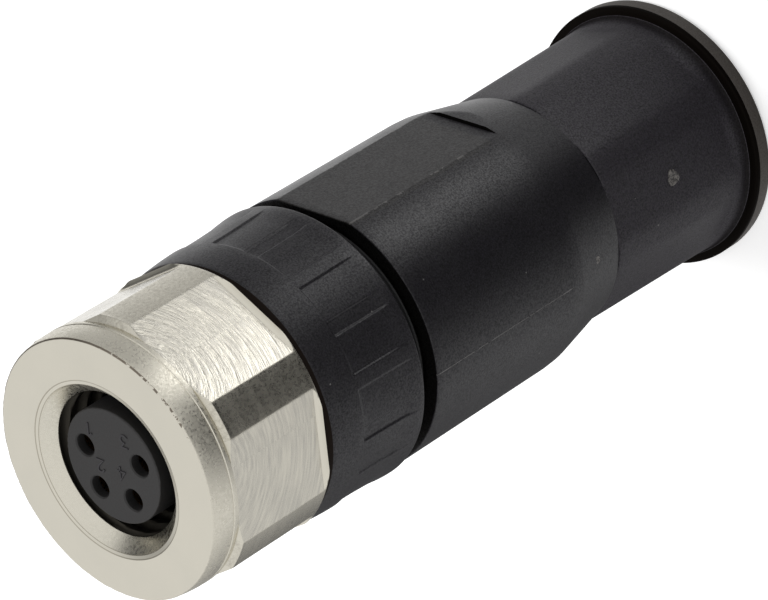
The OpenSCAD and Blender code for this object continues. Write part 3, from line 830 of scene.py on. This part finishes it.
coupling_nut_piece()
grip_ring_piece()
housing_piece()
gland_piece()
gate_mark("housing", radius=6.29, z=12.7, azimuth=-87, size=0.17)
gate_mark("gland", radius=5.79, z=6.1, azimuth=-75, size=0.36)
for digit, x, y in (("1", 1.42, 1.25), ("3", 1.5, -0.85), ("2", -0.22, 0.75), ("4", -0.22, -0.5)):
    numeral(digit, x, y)


# ---------------------------------------------------------------- studio
CAM_AZIMUTH = -51.731
CAM_ELEVATION = 39.943
CAM_ROLL = -121.773
CAM_PLACE = (11.905, 7.310, 192.672)   # from the mating face: right, up and back, in the camera's own axes
CAM_LENS = 210.9375                    # on a sensor 36 mm wide
GLOW_AZIMUTH = -51.7                   # the camera's azimuth, near enough
GLOW_MAX = 3.0                         # the glow's ramps hold shares of this
FLOOR_SEEN = 0.45                      # brightness added where the camera sees the floor
LAMP_DISTANCE = 0.6                    # metres from the part's middle
MIDDLE = Vector((0, 0, 0.02))          # of the part, in metres

# How bright reflections see the floor, by degrees anticlockwise from the camera's azimuth, close to the
# part, further out and far out. It is darkest where the photographer stands.
GLOW_CLOSE = [(-180, 0.5), (-129, 0.12), (-110, 0.22), (-81, 0.6), (-57, 0.65), (-45, 0.5),
              (-33, 0.26), (-20, 0.04), (6, 0.02), (15, 0.06), (27, 0.26), (40, 0.5),
              (63, 0.5), (87, 0.65), (105, 0.85), (135, 1.0), (165, 1.2), (180, 0.5)]
GLOW_MIDDLE = [(-180, 0.7), (-150, 0.12), (-130, 0.2), (-108, 0.42), (-86, 0.85), (-68, 0.8), (-46, 0.4),
               (-30, 0.05), (6, 0.02), (16, 0.3), (27, 1.9), (39, 3.0), (50, 0.75), (62, 0.5),
               (90, 0.6), (103, 0.72), (112, 0.8), (128, 1.1), (150, 1.05), (162, 1.3), (180, 0.9)]
GLOW_FAR = [(-180, 0.9), (-140, 0.42), (-108, 0.6), (-86, 0.95), (-57, 0.8), (-45, 0.6), (-33, 0.36),
            (-20, 0.2), (6, 0.2), (16, 0.6), (27, 1.6), (37, 1.15), (46, 0.5), (62, 0.36),
            (90, 0.5), (112, 0.55), (128, 0.95), (150, 1.1), (180, 0.9)]


def direction(azimuth, elevation):
    """A unit vector, from degrees."""
    a, e = math.radians(azimuth), math.radians(elevation)
    return Vector((math.cos(a) * math.cos(e), math.sin(a) * math.cos(e), math.sin(e)))


def camera():
    """The photo's view: a long lens that looks down on the mating face."""
    cam = bpy.data.objects.new("camera", bpy.data.cameras.new("camera"))
    bpy.context.scene.collection.objects.link(cam)
    cam.data.sensor_width = 36
    cam.data.lens = CAM_LENS
    cam.data.clip_start = 0.01
    cam.data.clip_end = 10
    level = direction(CAM_AZIMUTH, CAM_ELEVATION).to_track_quat("Z", "Y")
    turn = level @ Quaternion((0, 0, 1), math.radians(CAM_ROLL))
    place = Vector((0, 0, FACE_Z)) + turn @ Vector(CAM_PLACE)
    cam.matrix_world = Matrix.Translation(place * MM) @ turn.to_matrix().to_4x4()
    bpy.context.scene.camera = cam


def lamp(name, azimuth, elevation, size, power):
    """A square soft lamp that looks at the part's middle and shows in no reflection."""
    light = bpy.data.lights.new(name, "AREA")
    light.shape = "SQUARE"
    light.size = size
    light.energy = power
    lamp_object = bpy.data.objects.new(name, light)
    bpy.context.scene.collection.objects.link(lamp_object)
    toward = direction(azimuth, elevation)
    lamp_object.location = MIDDLE + toward * LAMP_DISTANCE
    lamp_object.rotation_mode = "QUATERNION"
    lamp_object.rotation_quaternion = toward.to_track_quat("Z", "Y")
    lamp_object.visible_glossy = False


def floor_look():
    """Pale for light, evenly lit for the camera, and a glow that differs by direction for reflections."""
    m = Material("floor_white")
    rays = m.node("ShaderNodeLightPath").outputs
    x, y, _ = m.xyz(m.place)
    angle = m.plus(m.math("ARCTAN2", y, x), math.radians(-GLOW_AZIMUTH))
    share = m.math("DIVIDE", m.plus(m.math("WRAP", angle, math.pi, -math.pi), math.pi), 2 * math.pi)
    close, middle, far = (
        m.ramp(share, [((degrees + 180) / 360, level / GLOW_MAX) for degrees, level in stops])
        for stops in (GLOW_CLOSE, GLOW_MIDDLE, GLOW_FAR))
    out = m.math("DIVIDE", m.radius(x, y), 0.1)    # tenths of a metre from the axis
    glow = m.mix(m.ramp(out, [(0.13, 0.0), (0.25, 1.0)]), close, middle)
    glow = m.mix(m.ramp(out, [(0.5, 0.0), (0.72, 1.0)]), glow, far)

    glow = m.times(glow, GLOW_MAX)
    strength = m.plus(m.times(rays["Is Camera Ray"], FLOOR_SEEN), m.times(rays["Is Glossy Ray"], glow))
    strength = m.plus(strength, m.times(rays["Is Transmission Ray"], FLOOR_SEEN))
    emission = m.node("ShaderNodeEmission")
    m.feed(emission.inputs["Strength"], strength)
    m.set(Base_Color=(0.8, 0.8, 0.8), Roughness=1.0, Specular_IOR_Level=0.0)

    # reflections see only the glow, and everything else the lit floor as well
    black = m.node("ShaderNodeBsdfDiffuse")
    m.feed(black.inputs["Color"], (0, 0, 0))
    lit = m.node("ShaderNodeMixShader")
    m.feed(lit.inputs[0], rays["Is Glossy Ray"])
    m.feed(lit.inputs[1], m.shader.outputs[0])
    m.feed(lit.inputs[2], black.outputs[0])
    total = m.node("ShaderNodeAddShader")
    m.feed(total.inputs[0], lit.outputs[0])
    m.feed(total.inputs[1], emission.outputs[0])
    m.feed(m.tree.nodes["Material Output"].inputs[0], total.outputs[0])
    return m.material


def ground():
    """The floor, just under the part."""
    grid = bmesh.new()
    bmesh.ops.create_grid(grid, x_segments=8, y_segments=8, size=1.5)
    mesh = bpy.data.meshes.new("floor")
    grid.to_mesh(mesh)
    grid.free()
    mesh.materials.append(floor_look())
    floor = bpy.data.objects.new("floor", mesh)
    floor.location.z = cad_lo.z - 0.02 * MM
    bpy.context.scene.collection.objects.link(floor)


def room():
    """An even pale room, white behind the part, with a darker place low down that only reflections show."""
    world = bpy.data.worlds.new("room")
    bpy.context.scene.world = world
    world.use_nodes = True
    n = Nodes(world.node_tree)
    toward = n.node("ShaderNodeVectorMath", operation="DOT_PRODUCT")
    n.feed(toward.inputs[0], n.node("ShaderNodeTexCoord").outputs["Generated"])
    toward.inputs[1].default_value = direction(75, 12)
    shade = n.node("ShaderNodeMapRange", interpolation_type="SMOOTHSTEP")
    n.feed(shade.inputs["Value"], toward.outputs["Value"])
    n.feed(shade.inputs["From Min"], math.cos(math.radians(44)))
    n.feed(shade.inputs["From Max"], math.cos(math.radians(12)))
    n.feed(shade.inputs["To Min"], 0.89)
    n.feed(shade.inputs["To Max"], 0.1)
    rays = n.node("ShaderNodeLightPath").outputs
    level = 0.0
    for ray, value in (("Camera", 1.0), ("Glossy", shade.outputs["Result"]), ("Diffuse", 0.55)):
        level = n.math("MULTIPLY_ADD", rays[f"Is {ray} Ray"], value, level)
    background = n.tree.nodes["Background"]
    n.feed(background.inputs["Color"], (1, 1, 1))
    n.feed(background.inputs["Strength"], level)


camera()
ground()
room()
lamp("key", azimuth=75, elevation=55, size=0.35, power=2.2)
lamp("fill", azimuth=-150, elevation=50, size=0.5, power=0.9)
bpy.context.scene.view_settings.view_transform = "Standard"
